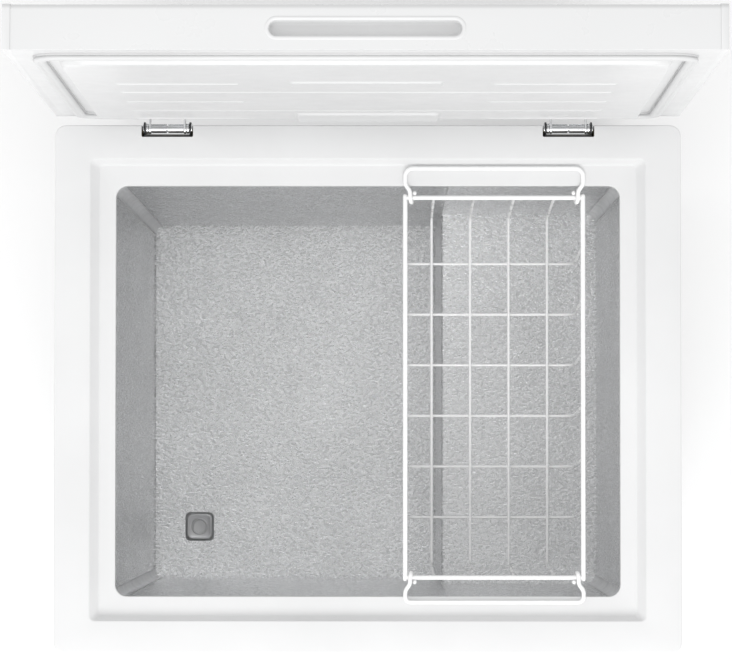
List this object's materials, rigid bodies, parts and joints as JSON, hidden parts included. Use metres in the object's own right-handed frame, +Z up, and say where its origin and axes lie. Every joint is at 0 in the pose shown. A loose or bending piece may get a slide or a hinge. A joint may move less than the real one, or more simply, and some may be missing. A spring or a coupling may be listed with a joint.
{
  "type": "chest freezer",
  "caption": "Chest freezer with a hinged lid, a stepped embossed aluminium tub, a hanging wire basket with folding end handles, and its compressor and cooling pipes inside.",
  "frame": {"origin": "on the floor, under the middle of the cabinet's plan", "axes": "+X to the right seen from the front, +Y to the back, +Z up"},
  "size_m": [0.63, 0.5895, 1.3294],
  "materials": {
    "white_paint": "smooth gloss white coil coating",
    "grey_paint": "satin light grey coil coating",
    "zinc_sheet": "galvanised sheet",
    "pu_foam": "rigid polyurethane foam",
    "embossed_aluminium": "stucco-embossed sheet, satin",
    "white_plastic": "moulded white plastic, satin",
    "copper": "drawn copper tube",
    "black_enamel": "gloss black enamel",
    "motor_iron": "cast and laminated iron",
    "black_plastic": "matt black plastic",
    "black_rubber": "matt black rubber",
    "zinc_steel": "zinc-plated steel",
    "grey_plastic": "matt grey plastic",
    "chrome_steel": "polished plated steel",
    "green_lens": "translucent green lens",
    "amber_lens": "translucent amber lens",
    "clear_pvc": "milky soft tube",
    "dark_bracket": "dark painted pressed steel",
    "white_rubber": "soft white gasket",
    "coated_wire": "steel wire with a gloss white coating"
  },
  "bodies": {
    "cabinet": {"outer_shell": "white_paint", "back_panel": "grey_paint", "bottom_pan": "zinc_sheet", "cabinet_foam": "pu_foam", "inner_liner": "embossed_aluminium", "top_frame": "white_plastic", "evaporator_coil": "copper", "condenser_coil": "black_enamel", "compressor_shell": "black_enamel", "compressor_motor": "motor_iron", "terminal_cover": "black_plastic", "compressor_grommets": "black_rubber", "compressor_bolts": "zinc_steel", "compressor_base_plate": "zinc_sheet", "filter_drier": "copper", "suction_line": "copper", "discharge_line": "copper", "capillary_tube": "copper", "rear_grille": "black_plastic", "grille_screws": "zinc_steel", "cord_gland": "black_rubber", "control_bezel": "white_plastic", "thermostat_body": "grey_plastic", "power_lamp": "green_lens", "run_lamp": "amber_lens", "drain_socket": "grey_plastic", "drain_tube": "clear_pvc", "foot_front_left": "black_rubber", "foot_front_right": "black_rubber", "foot_rear_left": "black_rubber", "foot_rear_right": "black_rubber", "hinge_base_left": "dark_bracket", "hinge_base_right": "dark_bracket", "hinge_pin_left": "chrome_steel", "hinge_pin_right": "chrome_steel", "hinge_barrel_left": "chrome_steel", "hinge_barrel_right": "chrome_steel", "hinge_screws": "zinc_steel"},
    "lid": {"lid_outer": "white_paint", "lid_foam": "pu_foam", "lid_inner_panel": "white_plastic", "lid_gasket": "white_rubber", "grip_cup": "white_plastic", "lid_end_cap_left": "white_plastic", "lid_end_cap_right": "white_plastic", "hinge_leaf_left": "chrome_steel", "hinge_leaf_right": "chrome_steel"},
    "basket": {"basket_frame": "coated_wire", "basket_cross_wires": "coated_wire", "basket_long_wires": "coated_wire"},
    "rear_bail": {"basket_bail_rear": "coated_wire"},
    "front_bail": {"basket_bail_front": "coated_wire"},
    "thermostat_dial": {"thermostat_knob": "white_plastic", "thermostat_shaft": "chrome_steel"},
    "inner_drain_cap": {"drain_cap_inner": "grey_plastic"},
    "outer_drain_plug": {"drain_plug_outer": "white_plastic"}
  },
  "joints": [
    {"name": "lid_hinge", "type": "hinge", "parent": "cabinet", "child": "lid", "pos_m": [0, 0.2625, 0.798], "axis": [-1, 0, 0], "range_deg": [-90.8, 0]},
    {"name": "basket_lift", "type": "slide", "parent": "cabinet", "child": "basket", "axis": [0, 0, 1], "range_m": [0, 0.3]},
    {"name": "rear_bail_swing", "type": "hinge", "parent": "basket", "child": "rear_bail", "pos_m": [0.1273, 0.193, 0.7926], "axis": [1, 0, 0], "range_deg": [0, 118]},
    {"name": "front_bail_swing", "type": "hinge", "parent": "basket", "child": "front_bail", "pos_m": [0.1273, -0.1897, 0.7926], "axis": [-1, 0, 0], "range_deg": [0, 118]},
    {"name": "thermostat_turn", "type": "hinge", "parent": "cabinet", "child": "thermostat_dial", "pos_m": [0.2496, -0.2625, 0.092], "axis": [0, -1, 0], "range_deg": [-135, 135]},
    {"name": "inner_drain_cap_pull", "type": "slide", "parent": "cabinet", "child": "inner_drain_cap", "axis": [0, 0, 1], "range_m": [0, 0.05]},
    {"name": "outer_drain_plug_pull", "type": "slide", "parent": "cabinet", "child": "outer_drain_plug", "axis": [0, -1, 0], "range_m": [0, 0.04]}
  ]
}
